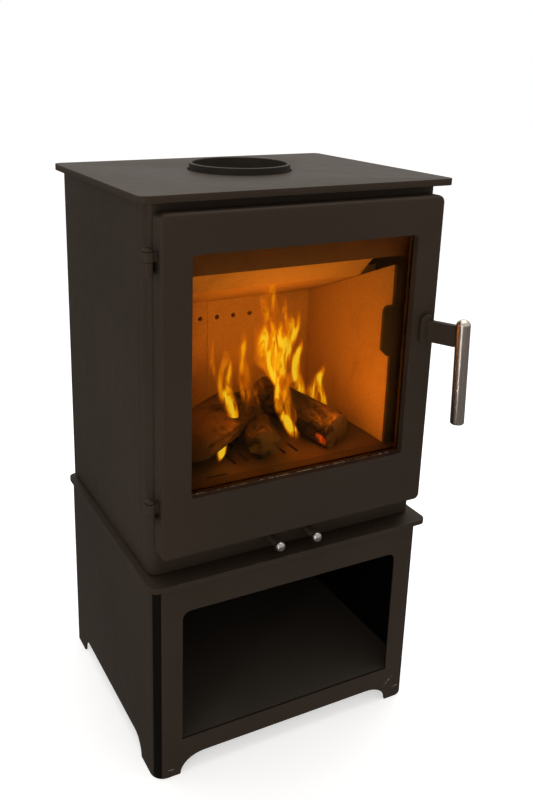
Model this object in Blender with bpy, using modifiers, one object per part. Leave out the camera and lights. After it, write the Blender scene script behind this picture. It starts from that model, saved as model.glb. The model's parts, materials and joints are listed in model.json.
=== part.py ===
"""Wood burning stove on a log-store stand, modelled as separate sub-parts.

Metres, +Z up, the door faces -Y. Sizes are given about the stove's own datum: x = 0 is its middle
plane, y = 0 the middle of the casing's depth and z = 0 the floor. The datum empty then puts the
middle of the whole stove, door handle included, over the world origin.
"""
import math

import bmesh
import bpy
from mathutils import Vector

GAP = 0.0003  # left between pieces that touch

# ---- Driving dimensions ------------------------------------------------------------------------
# Stand: a bent shell with the log store in it, under its own top plate
STAND_TOP = 0.3258  # height of the face that the stove body stands on
STAND_PLATE = dict(half_width=0.230, front=-0.200, back=0.176, thickness=0.0071, corner=0.012)
STAND_HALF_WIDTH = 0.223
STAND_FRONT = -0.192
STAND_BACK = 0.172
STAND_SHEET = 0.004
STAND_LINING = 0.0035  # the log store's floor and back
STAND_CORNER = 0.020
STORE_HALF_WIDTH = 0.180  # opening of the log store
STORE_BOTTOM = 0.0602
STORE_TOP = 0.2736
STORE_CORNER = 0.012
FOOT_RISE = 0.0285  # height of the cut-outs between the feet
FRONT_FOOT_X = 0.183  # inner end of a front foot, at the floor
FRONT_FOOT_RUN = 0.038  # width of the curve above it
SIDE_FOOT_Y = (-0.1365, 0.135)  # ends of the side cut-out, at the floor
SIDE_FOOT_RUN = 0.026
BOLT_RADIUS = 0.004
BOLT_HEAD = 0.0065
BOLTS = [(-0.180, -0.130), (0.180, -0.130), (-0.180, 0.130), (0.180, 0.130)]

# Casing
TOP_PLATE = dict(half_width=0.235, front=-0.1885, back=0.173, thickness=0.0094, corner=0.011)
TOP = 0.8503  # upper face of the top plate
CASE_HALF_WIDTH = 0.2197
CASE_FRONT = -0.1705
CASE_BACK = 0.1705
CASE_LIFT = 0.0025  # shadow gap under the casing
CASE_CORNER = 0.014
CASE_BOTTOM = STAND_TOP + CASE_LIFT
CASE_TOP = TOP - TOP_PLATE["thickness"] - GAP
FRAME_SHEET = 0.005
FRAME_RETURN = -0.140  # the front frame bends round the corners and back to here
PANEL_SHEET = 0.003
SEAM = 0.0012  # groove between the front frame and a side panel
TAB_Y = (-0.077, 0.061)  # a side panel reaches the stand between these
MOUTH_HALF_WIDTH = 0.188  # opening in the front frame
MOUTH_BOTTOM = 0.385
MOUTH_TOP = 0.805
MOUTH_CORNER = 0.006
VENT_HALF_WIDTH = 0.004  # convection slots in the rear panel
VENT_LENGTH = 0.060
VENT_PITCH = 0.040

# Flue collar
FLUE_Y = 0.012
COLLAR_OUTER = 0.0748
COLLAR_INNER = 0.0699
COLLAR_TOP = TOP + 0.0095
COLLAR_CLEARANCE = 0.0020

# Firebox
BOX_HALF_WIDTH = 0.208
BOX_BACK = 0.138
BOX_SHEET = 0.004
BOX_FRONT = CASE_FRONT + FRAME_SHEET + 4 * GAP
BOX_INNER = BOX_HALF_WIDTH - BOX_SHEET
BOX_FLOOR = MOUTH_BOTTOM - BOX_SHEET  # underside of the chamber floor, which is level with the mouth
BOX_CEILING = 0.800  # underside of the chamber's top
AIR_PORT = 0.016  # half width of a port over each air slide
AIR_PORT_Y = (-0.075, -0.045)
DUCT_HALF_WIDTH = 0.110
DUCT_PORT = (0.090, 0.112, 0.128)  # half width, front and back of the port under the rear duct
DUCT_TOP = 0.612
DUCT_SHEET = 0.002
HEARTH = 0.4432  # face that the fire lies on
HEARTH_FRONT = -0.1473
PLATE = 0.005
SLOT_HALF_WIDTH = 0.0025  # of the grate's slots
SLOT_LENGTH = 0.034
SLOT_ROWS = (-0.119, -0.066, -0.013)
SLOT_FIRST_X = -0.065
SLOT_PITCH = 0.021
SLOTS_IN_ROW = 6
LINING_X = 0.174  # inner face of a side board
LINING_FRONT = -0.145
LINING_BACK_Y = 0.080  # face of the back boards
LINING = 0.026  # thickness of the boards
BACK_SEAM_X = -0.017
BAFFLE_LOW = 0.632  # the baffle's underside at the back boards' face
BAFFLE_SLOPE = 0.41  # rise of the baffle for each unit forward
BAFFLE_EDGE_Y = -0.062
BAFFLE = 0.014
NOSE_TOP_Y = -0.104
NOSE_TOP = 0.733
NOSE = 0.006
AIRWASH_FRONT = -0.160
AIRWASH_BACK = -0.157
AIRWASH_BOTTOM = 0.740
RETAINER_FRONT = -0.1507  # steel strip over a side board's front edge
RETAINER_BACK = LINING_FRONT - GAP
AIR_HOLE_Z = 0.6035
AIR_HOLE_PITCH = 0.030
AIR_HOLE_RADIUS = 0.004
AIR_HOLE_STEPS = range(-3, 4)
PAN_HALF_WIDTH = 0.150
PAN_FRONT = -0.150
PAN_BACK = 0.060
PAN_CLEARANCE = 0.005  # under the grate
PAN_SHEET = 0.0015

# Door
DOOR_HALF_WIDTH = 0.2135
DOOR_BOTTOM = 0.3628
DOOR_TOP = 0.8294
DOOR_FRONT = -0.1982
DOOR_BACK = -0.1741
DOOR_CORNER = 0.010
DOOR_ROUNDING = 0.0055
WINDOW_HALF_WIDTH = 0.171
WINDOW_BOTTOM = 0.4486
WINDOW_TOP = 0.7770
WINDOW_CORNER = 0.005
GLASS_FRONT = -0.1875
GLASS = 0.004
REBATE = 0.0093  # how far the glass runs behind the window's edge
GROOVE_INSET = 0.008  # from the door's edge to the middle of the rope groove
ROPE_RADIUS = 0.004
GROOVE_HALF_WIDTH = 0.0045
GROOVE_DEPTH = 0.0055
SEAL = 0.003  # rope tape behind the glass
CLIP = 0.0025

# Hinges: the pins stand at the front left corner
HINGE_X = -0.225
HINGE_Y = -0.186
PIN_RADIUS = 0.004
BORE_RADIUS = 0.0043
DOOR_KNUCKLE_RADIUS = 0.0076
FRAME_KNUCKLE_RADIUS = 0.0067
DOOR_LEAF = 0.007  # thickness of the leaf that joins a knuckle to the door
FRAME_LEAF = 0.0044
HINGES = {  # name: heights of the frame knuckle's foot, the joint between the knuckles, the top
    "upper": (0.7535, 0.7710, 0.7835),
    "lower": (0.4184, 0.4341, 0.4492),
}
PIN_HEAD = 0.0062

# Handle and latch
SPINDLE_X = 0.194
SPINDLE_Z = 0.642
SPINDLE_RADIUS = 0.006
BUSH_RADIUS = 0.0074
HUB_WIDTH = 0.020
HUB_FRONT = -0.2046
ARM_BOTTOM = 0.6215
ARM_TOP = 0.6525
ARM_THICKNESS = 0.009
GRIP_X = 0.2215  # the grip's middle line at the arm
GRIP_Y = -0.248
GRIP_RADIUS = 0.010
GRIP_BOTTOM = 0.506
GRIP_TOP = 0.663
GRIP_LEAN = math.radians(-2.3)  # its foot stands a little further out than its top
CAM_FRONT = -0.1635
CAM_BACK = -0.1585
CAM_RADIUS = 0.0075
CAM_REACH = 0.038
KEEPER_X = 0.153  # inner edge of the keeper plate
KEEPER_Z = (0.588, 0.666)
KEEPER_FRONT = -0.1560
KEEPER_BACK = -0.1510
KEEPER_CORNER = 0.009

# Air controls
AIR_RODS = {"left": -0.033, "right": 0.028}
AIR_Z = 0.3445
KNOB_Y = -0.1990
KNOB_RADIUS = 0.008
KNOB_SEAT = 0.0045  # the ball is flat where the rod screws in
ROD_RADIUS = 0.006
ROD_END = -0.020
SLIDE_SHEET = 0.0018
SLIDE_HALF_WIDTH = 0.022
SLIDE_FRONT = -0.120

# The whole stove runs from the front of the handle to the back of the stand's plate.
DATUM_Y = -(GRIP_Y - GRIP_RADIUS + STAND_PLATE["back"]) / 2


# ---- Scene and materials -----------------------------------------------------------------------
def clear_scene():
    for obj in list(bpy.data.objects):
        bpy.data.objects.remove(obj, do_unlink=True)


def new_collection(name):
    collection = bpy.data.collections.new(name)
    bpy.context.scene.collection.children.link(collection)
    return collection


def principled(name, colour, roughness, metallic=0.0, transmission=0.0):
    material = bpy.data.materials.new(name)
    material.use_nodes = True
    shader = material.node_tree.nodes["Principled BSDF"]
    shader.inputs["Base Color"].default_value = (*colour, 1.0)
    shader.inputs["Roughness"].default_value = roughness
    shader.inputs["Metallic"].default_value = metallic
    shader.inputs["Transmission Weight"].default_value = transmission
    material.diffuse_color = (*colour, 1.0)
    return material


def make_materials():
    return {
        "stove_paint": principled("stove_paint", (0.032, 0.026, 0.021), 0.62, 0.2),
        "inner_steel": principled("inner_steel", (0.030, 0.022, 0.016), 0.75, 0.4),
        "vermiculite": principled("vermiculite", (0.55, 0.40, 0.24), 0.92),
        "stainless": principled("stainless", (0.62, 0.58, 0.54), 0.28, 1.0),
        "glass": principled("glass", (0.95, 0.86, 0.72), 0.04, 0.0, 1.0),
        "rope": principled("rope", (0.10, 0.10, 0.10), 0.95),
        "cast_iron": principled("cast_iron", (0.050, 0.036, 0.026), 0.80, 0.3),
    }


# ---- Outlines: lists of points in a piece's own plane --------------------------------------------
def arc(centre, radius, start, end, steps):
    """Points on a circle, or on an ellipse when radius is a pair, from start to end degrees."""
    rx, ry = radius if isinstance(radius, tuple) else (radius, radius)
    points = []
    for i in range(steps + 1):
        angle = math.radians(start + (end - start) * i / steps)
        points.append((centre[0] + rx * math.cos(angle), centre[1] + ry * math.sin(angle)))
    return points


def rectangle(u0, u1, v0, v1):
    return [(u0, v0), (u1, v0), (u1, v1), (u0, v1)]


def rounded(u0, u1, v0, v1, radius, steps=5):
    """A rectangle with round corners, anticlockwise from its lower left corner."""
    centres = [(u0 + radius, v0 + radius), (u1 - radius, v0 + radius),
               (u1 - radius, v1 - radius), (u0 + radius, v1 - radius)]
    points = []
    for quarter, centre in enumerate(centres):
        start = 180 + 90 * quarter
        points += arc(centre, radius, start, start + 90, steps)
    return points


def circle(centre, radius, steps=32):
    return arc(centre, radius, 0, 360 * (steps - 1) / steps, steps - 1)


def u_section(half_width, front, back, sheet, corner, steps=6):
    """Plan of a sheet bent into a U that is open at the back."""
    outer = [(-half_width, back)]
    outer += arc((-half_width + corner, front + corner), corner, 180, 270, steps)
    outer += arc((half_width - corner, front + corner), corner, 270, 360, steps)
    outer += [(half_width, back)]
    inside = corner - sheet
    inner = [(half_width - sheet, back)]
    inner += arc((half_width - corner, front + corner), inside, 360, 270, steps)
    inner += arc((-half_width + corner, front + corner), inside, 270, 180, steps)
    inner += [(-half_width + sheet, back)]
    return outer + inner


def foot_cutout(low, high, run, rise, below=0.01, steps=8):
    """Gap between two feet: a curve up from each, and a straight edge between them."""
    points = [(low, -below), (high, -below)]
    points += arc((high - run, 0), (run, rise), 0, 90, steps)
    points += arc((low + run, 0), (run, rise), 90, 180, steps)
    return points


def knuckle_section(radius, leaf_end, half_leaf, steps=18):
    """Plan of a hinge knuckle, with its leaf along +X out to leaf_end."""
    lean = math.degrees(math.asin(half_leaf / radius))
    return arc((0, 0), radius, lean, 360 - lean, steps) + [(leaf_end, -half_leaf), (leaf_end, half_leaf)]


# ---- Piece makers --------------------------------------------------------------------------------
# Turns a piece's own plane so that its two axes are X and Y, X and Z, or Y and Z.
TURNS = {
    "XY": (0, 0, 0),
    "XZ": (math.pi / 2, 0, 0),
    "YZ": (math.pi / 2, 0, math.pi / 2),
}


def curve_mesh(curve):
    """The mesh of a curve, with its caps welded on and its flat faces made whole."""
    guide = bpy.data.objects.new("outline", curve)
    bpy.context.scene.collection.objects.link(guide)
    depsgraph = bpy.context.evaluated_depsgraph_get()
    mesh = bpy.data.meshes.new_from_object(guide.evaluated_get(depsgraph))
    bpy.data.objects.remove(guide, do_unlink=True)
    bpy.data.curves.remove(curve)
    bm = bmesh.new()
    bm.from_mesh(mesh)
    bmesh.ops.remove_doubles(bm, verts=bm.verts, dist=0.00002)
    bmesh.ops.dissolve_limit(bm, angle_limit=math.radians(0.5), verts=bm.verts, edges=bm.edges)
    bmesh.ops.recalc_face_normals(bm, faces=bm.faces)
    bm.to_mesh(mesh)
    bm.free()
    return mesh


def flat(name, outlines, low, high, plane="XY"):
    """A flat piece: outlines filled in a plane, and as thick as from low to high across it.

    The first outline is the edge and the others are holes.
    """
    curve = bpy.data.curves.new(name, "CURVE")
    curve.dimensions = "2D"
    curve.fill_mode = "BOTH"
    curve.extrude = (high - low) / 2
    for outline in outlines:
        spline = curve.splines.new("POLY")
        spline.points.add(len(outline) - 1)
        for point, (u, v) in zip(spline.points, outline):
            point.co = (u, v, 0, 1)
        spline.use_cyclic_u = True
    mesh = curve_mesh(curve)
    mesh.name = name
    obj = bpy.data.objects.new(name, mesh)
    obj.rotation_euler = TURNS[plane]
    middle = (low + high) / 2
    obj.location = {"XY": (0, 0, middle), "XZ": (0, middle, 0), "YZ": (middle, 0, 0)}[plane]
    return obj


def turned(name, profile, location, closed=False, steps=32, along_y=False):
    """A turned piece from (radius, height) points, which run down its outer side.

    A closed profile is a ring's section. Along Y, the profile's top points to -Y.
    """
    mesh = bpy.data.meshes.new(name)
    bm = bmesh.new()
    corners = [bm.verts.new((radius, 0, height)) for radius, height in profile]
    pairs = list(zip(corners, corners[1:]))
    if closed:
        pairs.append((corners[-1], corners[0]))
    for pair in pairs:
        bm.edges.new(pair)
    bm.to_mesh(mesh)
    bm.free()
    obj = bpy.data.objects.new(name, mesh)
    obj.location = location
    if along_y:
        obj.rotation_euler = (math.pi / 2, 0, 0)
    screw = obj.modifiers.new("turn", "SCREW")
    screw.steps = steps
    screw.render_steps = steps
    screw.use_merge_vertices = True
    screw.merge_threshold = 0.00001
    screw.use_smooth_shade = True
    return obj


def cylinder_profile(radius, bottom, top, edge=0.0):
    """Profile of a plain pin or rod, its ends chamfered by edge."""
    points = [(0, top), (radius - edge, top), (radius, top - edge),
              (radius, bottom + edge), (radius - edge, bottom), (0, bottom)]
    if not edge:
        points = [(0, top), (radius, top), (radius, bottom), (0, bottom)]
    return points


def soften(obj, width, segments=2, angle=40):
    bevel = obj.modifiers.new("edges", "BEVEL")
    bevel.width = width
    bevel.segments = segments
    bevel.limit_method = "ANGLE"
    bevel.angle_limit = math.radians(angle)
    bevel.use_clamp_overlap = True


def cut(obj, *cutters):
    """Takes the cutters out of a piece. They are placed about the stove's datum, as the piece is."""
    for number, cutter in enumerate(cutters):
        CUTTERS.objects.link(cutter)
        cutter.parent = DATUM
        cutter.hide_render = True
        cutter.display_type = "WIRE"
        boolean = obj.modifiers.new(f"cut_{number}", "BOOLEAN")
        boolean.operation = "DIFFERENCE"
        boolean.solver = "EXACT"
        boolean.object = cutter


def bore(name, x, z, radius, front, back, steps=20):
    """A round cutter along Y."""
    return flat(name, [circle((x, z), radius, steps)], front, back, "XZ")


# ---- Bodies --------------------------------------------------------------------------------------
def make_axis(name, location, parent=None):
    empty = bpy.data.objects.new(name, None)
    empty.empty_display_size = 0.05
    PARTS.objects.link(empty)
    empty.location = location
    if parent:
        empty.parent = parent
        empty.location = Vector(location) - axis_place(parent)
    return empty


def axis_place(empty):
    """Where an axis stands, about the stove's datum."""
    place = Vector((0, 0, 0))
    while empty and empty != DATUM:
        place += Vector(empty.location)
        empty = empty.parent
    return place


def add(obj, material, axis=None):
    """Puts a finished piece in the stove, on the body that turns or slides about axis."""
    axis = axis or DATUM
    PARTS.objects.link(obj)
    obj.data.materials.append(MATERIALS[material])
    if any(modifier.type == "BOOLEAN" for modifier in obj.modifiers):
        obj.data.shade_flat()
    else:
        obj.data.shade_smooth()
        obj.data.set_sharp_from_angle(angle=math.radians(35))
    obj.location = Vector(obj.location) - axis_place(axis)
    obj.parent = axis


# ---- Stand ---------------------------------------------------------------------------------------
def plate_outline(size):
    return rounded(-size["half_width"], size["half_width"], size["front"], size["back"],
                   size["corner"])


def make_stand_plate():
    bolt_holes = [circle((x, y), BOLT_RADIUS + 0.0005, 16) for x, y in BOLTS]
    plate = flat("stand_top_plate", [plate_outline(STAND_PLATE), *bolt_holes],
                 STAND_TOP - STAND_PLATE["thickness"], STAND_TOP)
    soften(plate, 0.0025, 3)
    add(plate, "stove_paint")


def make_stand_shell():
    section = u_section(STAND_HALF_WIDTH, STAND_FRONT, STAND_BACK, STAND_SHEET, STAND_CORNER)
    shell = flat("stand_shell", [section], 0, STAND_TOP - STAND_PLATE["thickness"] - GAP)
    right = arc((STORE_HALF_WIDTH - STORE_CORNER, STORE_TOP - STORE_CORNER), STORE_CORNER, 0, 90, 6)
    left = arc((-STORE_HALF_WIDTH + STORE_CORNER, STORE_TOP - STORE_CORNER), STORE_CORNER, 90, 180, 6)
    mouth = [(-STORE_HALF_WIDTH, STORE_BOTTOM), (STORE_HALF_WIDTH, STORE_BOTTOM), *right, *left]
    front_feet = foot_cutout(-FRONT_FOOT_X, FRONT_FOOT_X, FRONT_FOOT_RUN, FOOT_RISE)
    side_feet = foot_cutout(*SIDE_FOOT_Y, SIDE_FOOT_RUN, FOOT_RISE)
    beyond = 0.02
    cutters = [
        flat("log_store_mouth", [mouth], STAND_FRONT - beyond, STAND_FRONT + beyond, "XZ"),
        flat("front_feet_gap", [front_feet], STAND_FRONT - beyond, STAND_FRONT + beyond, "XZ"),
        flat("side_feet_gap", [side_feet], -STAND_HALF_WIDTH - beyond,
             STAND_HALF_WIDTH + beyond, "YZ"),
    ]
    cut(shell, *cutters)
    add(shell, "stove_paint")


def make_stand_inside():
    inner = STAND_HALF_WIDTH - STAND_SHEET - GAP
    sheet = STAND_LINING
    front = STAND_FRONT + STAND_SHEET + GAP
    corner = STAND_CORNER - STAND_SHEET
    shelf_outline = rounded(-inner, inner, front, STAND_BACK - sheet - 2 * GAP, corner, 4)
    shelf = flat("stand_shelf", [shelf_outline], STORE_BOTTOM - sheet, STORE_BOTTOM - GAP)
    add(shelf, "stove_paint")
    under_plate = STAND_TOP - STAND_PLATE["thickness"] - GAP
    back_outline = rectangle(-inner, inner, STORE_BOTTOM - sheet, under_plate)
    back = flat("stand_back_panel", [back_outline], STAND_BACK - sheet - GAP, STAND_BACK - GAP, "XZ")
    add(back, "stove_paint")


def make_stand_bolts():
    """Bolts that hold the stove body down, their round heads under the stand's plate."""
    under = STAND_TOP - STAND_PLATE["thickness"] - GAP
    tip = CASE_BOTTOM - GAP
    head_low, chamfer = under - 0.005, 0.0015
    for number, (x, y) in enumerate(BOLTS, 1):
        profile = [(0, tip), (BOLT_RADIUS, tip), (BOLT_RADIUS, under), (BOLT_HEAD, under),
                   (BOLT_HEAD, head_low + chamfer), (BOLT_HEAD - chamfer, head_low), (0, head_low)]
        add(turned(f"stand_bolt_{number}", profile, (x, y, 0), steps=16), "stainless")


# ---- Casing --------------------------------------------------------------------------------------
def make_top_plate():
    hole = circle((0, FLUE_Y), COLLAR_OUTER + COLLAR_CLEARANCE, 48)
    plate = flat("top_plate", [plate_outline(TOP_PLATE), hole], TOP - TOP_PLATE["thickness"], TOP)
    soften(plate, 0.0012)
    add(plate, "stove_paint")


def make_flue_collar():
    foot = BOX_CEILING + PLATE + GAP
    edge = 0.0008
    profile = [(COLLAR_INNER + edge, COLLAR_TOP), (COLLAR_OUTER - edge, COLLAR_TOP),
               (COLLAR_OUTER, COLLAR_TOP - edge), (COLLAR_OUTER, foot), (COLLAR_INNER, foot),
               (COLLAR_INNER, COLLAR_TOP - edge)]
    collar = turned("flue_collar", profile, (0, FLUE_Y, 0), closed=True, steps=48)
    add(collar, "cast_iron")


def make_front_frame():
    """Front of the casing, bent round both corners, with the firebox's mouth in it."""
    section = u_section(CASE_HALF_WIDTH, CASE_FRONT, FRAME_RETURN, FRAME_SHEET, CASE_CORNER)
    frame = flat("front_frame", [section], CASE_BOTTOM, CASE_TOP)
    front, back = CASE_FRONT - 0.01, CASE_FRONT + 0.01
    mouth = rounded(-MOUTH_HALF_WIDTH, MOUTH_HALF_WIDTH, MOUTH_BOTTOM, MOUTH_TOP, MOUTH_CORNER, 3)
    room = 0.002
    latch_way = rectangle(MOUTH_HALF_WIDTH - 0.01, SPINDLE_X + CAM_RADIUS + room,
                          SPINDLE_Z - CAM_RADIUS - 0.010, SPINDLE_Z + CAM_REACH + 0.012)
    cutters = [flat("firebox_mouth", [mouth], front, back, "XZ"),
               flat("latch_way", [latch_way], front, back, "XZ")]
    for side, x in AIR_RODS.items():
        cutters.append(bore(f"air_rod_hole_{side}", x, AIR_Z, ROD_RADIUS + 0.0008, front, back))
    cut(frame, *cutters)
    add(frame, "stove_paint")


def make_side_panels():
    front, back = FRAME_RETURN + SEAM, CASE_BACK - PANEL_SHEET - GAP
    outline = [(front, CASE_BOTTOM), (TAB_Y[0], CASE_BOTTOM), (TAB_Y[0], STAND_TOP + GAP),
               (TAB_Y[1], STAND_TOP + GAP), (TAB_Y[1], CASE_BOTTOM), (back, CASE_BOTTOM),
               (back, CASE_TOP), (front, CASE_TOP)]
    inner = CASE_HALF_WIDTH - PANEL_SHEET
    left = flat("side_panel_left", [outline], -CASE_HALF_WIDTH, -inner, "YZ")
    right = flat("side_panel_right", [outline], inner, CASE_HALF_WIDTH, "YZ")
    add(left, "stove_paint")
    add(right, "stove_paint")


def make_back_panel():
    """Rear heat shield, with a row of convection slots near its top and its foot."""
    slots = []
    from_edge = 0.025
    for low in (CASE_BOTTOM + from_edge, CASE_TOP - from_edge - VENT_LENGTH):
        for step in range(-4, 5):
            x = step * VENT_PITCH
            slots.append(rounded(x - VENT_HALF_WIDTH, x + VENT_HALF_WIDTH, low, low + VENT_LENGTH,
                                 VENT_HALF_WIDTH - 0.0001, 4))
    outline = rectangle(-CASE_HALF_WIDTH, CASE_HALF_WIDTH, CASE_BOTTOM, CASE_TOP)
    panel = flat("back_panel", [outline, *slots], CASE_BACK - PANEL_SHEET, CASE_BACK, "XZ")
    add(panel, "stove_paint")


def make_base_plate():
    half = CASE_HALF_WIDTH - FRAME_SHEET - GAP
    outline = rounded(-half, half, CASE_FRONT + FRAME_SHEET + GAP,
                      CASE_BACK - PANEL_SHEET - GAP, CASE_CORNER - FRAME_SHEET, 4)
    add(flat("base_plate", [outline], CASE_BOTTOM, CASE_BOTTOM + PANEL_SHEET), "inner_steel")


# ---- Firebox -------------------------------------------------------------------------------------
def make_firebox():
    """Welded chamber behind the front frame: walls, floor with the air ports, and top."""
    walls_plan = [(-BOX_HALF_WIDTH, BOX_FRONT), (-BOX_INNER, BOX_FRONT),
                  (-BOX_INNER, BOX_BACK - BOX_SHEET), (BOX_INNER, BOX_BACK - BOX_SHEET),
                  (BOX_INNER, BOX_FRONT), (BOX_HALF_WIDTH, BOX_FRONT),
                  (BOX_HALF_WIDTH, BOX_BACK), (-BOX_HALF_WIDTH, BOX_BACK)]
    add(flat("firebox_walls", [walls_plan], BOX_FLOOR, BOX_CEILING - GAP), "inner_steel")
    ports = [rounded(x - AIR_PORT, x + AIR_PORT, *AIR_PORT_Y, 0.004, 3) for x in AIR_RODS.values()]
    duct_half, duct_front, duct_back = DUCT_PORT
    ports.append(rounded(-duct_half, duct_half, duct_front, duct_back, 0.004, 3))
    half = BOX_INNER - GAP
    floor_outline = rectangle(-half, half, BOX_FRONT, BOX_BACK - BOX_SHEET - GAP)
    add(flat("firebox_floor", [floor_outline, *ports], BOX_FLOOR, MOUTH_BOTTOM), "inner_steel")
    top_outline = rectangle(-BOX_HALF_WIDTH, BOX_HALF_WIDTH, BOX_FRONT, BOX_BACK)
    flue_hole = circle((0, FLUE_Y), COLLAR_INNER, 48)
    add(flat("firebox_top", [top_outline, flue_hole], BOX_CEILING, BOX_CEILING + PLATE),
        "inner_steel")


def baffle_height(y):
    """Height of the baffle's underside at y."""
    return BAFFLE_LOW + BAFFLE_SLOPE * (LINING_BACK_Y - y)


def make_side_boards():
    back = LINING_BACK_Y + LINING
    outline = [(LINING_FRONT, HEARTH + GAP), (back, HEARTH + GAP),
               (back, baffle_height(back) - GAP), (LINING_FRONT, baffle_height(LINING_FRONT) - GAP)]
    for name, low in (("side_board_left", -LINING_X - LINING), ("side_board_right", LINING_X)):
        board = flat(name, [outline], low, low + LINING, "YZ")
        soften(board, 0.0008, 1)
        add(board, "vermiculite")


def make_board_retainers():
    """Steel strips that hold the side boards, in front of their front edges."""
    near, far = LINING_X + 0.0005, BOX_INNER - 0.0005
    low, high = HEARTH + GAP, baffle_height(LINING_FRONT) - GAP
    for name, x0, x1 in (("board_retainer_left", -far, -near), ("board_retainer_right", near, far)):
        strip = flat(name, [rectangle(x0, x1, low, high)], RETAINER_FRONT, RETAINER_BACK, "XZ")
        add(strip, "inner_steel")


def make_back_boards():
    """Two boards side by side, with the row of secondary air holes near their top."""
    back = LINING_BACK_Y + LINING
    outline = [(LINING_BACK_Y, HEARTH + GAP), (back, HEARTH + GAP),
               (back, baffle_height(back) - GAP), (LINING_BACK_Y, BAFFLE_LOW - GAP)]
    sides = {"back_board_left": (-LINING_X + GAP, BACK_SEAM_X - GAP),
             "back_board_right": (BACK_SEAM_X + GAP, LINING_X - GAP)}
    for name, (low, high) in sides.items():
        board = flat(name, [outline], low, high, "YZ")
        holes = [step * AIR_HOLE_PITCH for step in AIR_HOLE_STEPS]
        cutters = [bore(f"air_hole_{name}_{i}", x, AIR_HOLE_Z, AIR_HOLE_RADIUS,
                        LINING_BACK_Y - 0.01, back + 0.01, 16)
                   for i, x in enumerate(holes) if low < x < high]
        cut(board, *cutters)
        add(board, "vermiculite")


def make_rear_air_duct():
    """Channel from the port in the floor up behind the back boards, to their row of holes."""
    front = LINING_BACK_Y + LINING + GAP
    plan = u_section(DUCT_HALF_WIDTH, front, BOX_BACK - BOX_SHEET - GAP, DUCT_SHEET, 2 * DUCT_SHEET, 2)
    duct = flat("rear_air_duct", [plan], MOUTH_BOTTOM + GAP, DUCT_TOP)
    cutters = [bore(f"duct_hole_{step + 3}", step * AIR_HOLE_PITCH, AIR_HOLE_Z, AIR_HOLE_RADIUS,
                    front - 0.01, front + 0.01, 16) for step in AIR_HOLE_STEPS]
    cut(duct, *cutters)
    add(duct, "inner_steel")


def make_baffles():
    """The sloping board over the fire, and the bent throat plate at its front edge."""
    rear = LINING_BACK_Y + LINING
    edge = baffle_height(BAFFLE_EDGE_Y)
    board = [(rear, baffle_height(rear)), (rear, baffle_height(rear) + BAFFLE),
             (BAFFLE_EDGE_Y, edge + BAFFLE), (BAFFLE_EDGE_Y, edge)]
    half = BOX_INNER - 0.001
    add(flat("baffle_board", [board], -half, half, "YZ"), "vermiculite")
    start_y = BAFFLE_EDGE_Y - GAP
    across = NOSE * math.sqrt(0.5)  # the throat plate rises at about 45 degrees
    nose = [(start_y, edge), (start_y, edge + 2 * across),
            (NOSE_TOP_Y + across, NOSE_TOP + across), (NOSE_TOP_Y, NOSE_TOP)]
    add(flat("throat_plate", [nose], -LINING_X + GAP, LINING_X - GAP, "YZ"), "vermiculite")
    airwash = rectangle(-half, half, AIRWASH_BOTTOM, BOX_CEILING - GAP)
    add(flat("airwash_plate", [airwash], AIRWASH_FRONT, AIRWASH_BACK, "XZ"), "inner_steel")


def make_hearth():
    """Grate plate that the fire lies on, and the sill in front of it."""
    half = BOX_INNER - GAP
    outline = rectangle(-half, half, HEARTH_FRONT, LINING_BACK_Y + LINING)
    slot = SLOT_HALF_WIDTH
    end = slot - 0.0001
    slots = []
    for row in SLOT_ROWS:
        for step in range(SLOTS_IN_ROW):
            x = SLOT_FIRST_X + step * SLOT_PITCH
            slots.append(rounded(x - slot, x + slot, row, row + SLOT_LENGTH, end, 3))
    front_x, front_y = -0.123, -0.141  # one more slot runs across, near the front edge
    slots.append(rounded(front_x, front_x + SLOT_LENGTH, front_y - slot, front_y + slot, end, 3))
    grate = flat("hearth_grate", [outline, *slots], HEARTH - PLATE, HEARTH)
    add(grate, "cast_iron")
    sill = rectangle(-half, half, BOX_FRONT, HEARTH_FRONT - GAP)
    add(flat("front_sill", [sill], HEARTH - PLATE, HEARTH), "inner_steel")


def make_ash_pan():
    """Open tray under the grate: a sheet bent up at front and back, with an end plate on each side."""
    bottom, top = MOUTH_BOTTOM + GAP, HEARTH - PLATE - PAN_CLEARANCE
    inner_front, inner_back = PAN_FRONT + PAN_SHEET, PAN_BACK - PAN_SHEET
    floor = bottom + PAN_SHEET
    section = [(PAN_FRONT, top), (PAN_FRONT, bottom), (PAN_BACK, bottom), (PAN_BACK, top),
               (inner_back, top), (inner_back, floor), (inner_front, floor), (inner_front, top)]
    bend = PAN_HALF_WIDTH - PAN_SHEET - GAP
    add(flat("ash_pan", [section], -bend, bend, "YZ"), "inner_steel")
    end_plate = rectangle(PAN_FRONT, PAN_BACK, bottom, top)
    inner = PAN_HALF_WIDTH - PAN_SHEET
    for side, low, high in (("left", -PAN_HALF_WIDTH, -inner), ("right", inner, PAN_HALF_WIDTH)):
        add(flat(f"ash_pan_end_{side}", [end_plate], low, high, "YZ"), "inner_steel")


def make_latch_keeper():
    """Plate on the firebox wall that the latch cam closes against."""
    edge, (low, high) = BOX_INNER - GAP, KEEPER_Z
    corner, chamfer = KEEPER_CORNER, 0.011
    outline = [(KEEPER_X + chamfer, low), (edge, low), (edge, high)]
    outline += arc((KEEPER_X + corner, high - corner), corner, 90, 180, 5)
    outline += [(KEEPER_X, low + chamfer)]
    keeper = flat("latch_keeper", [outline], KEEPER_FRONT, KEEPER_BACK, "XZ")
    soften(keeper, 0.0006, 1)
    add(keeper, "inner_steel")


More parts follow.
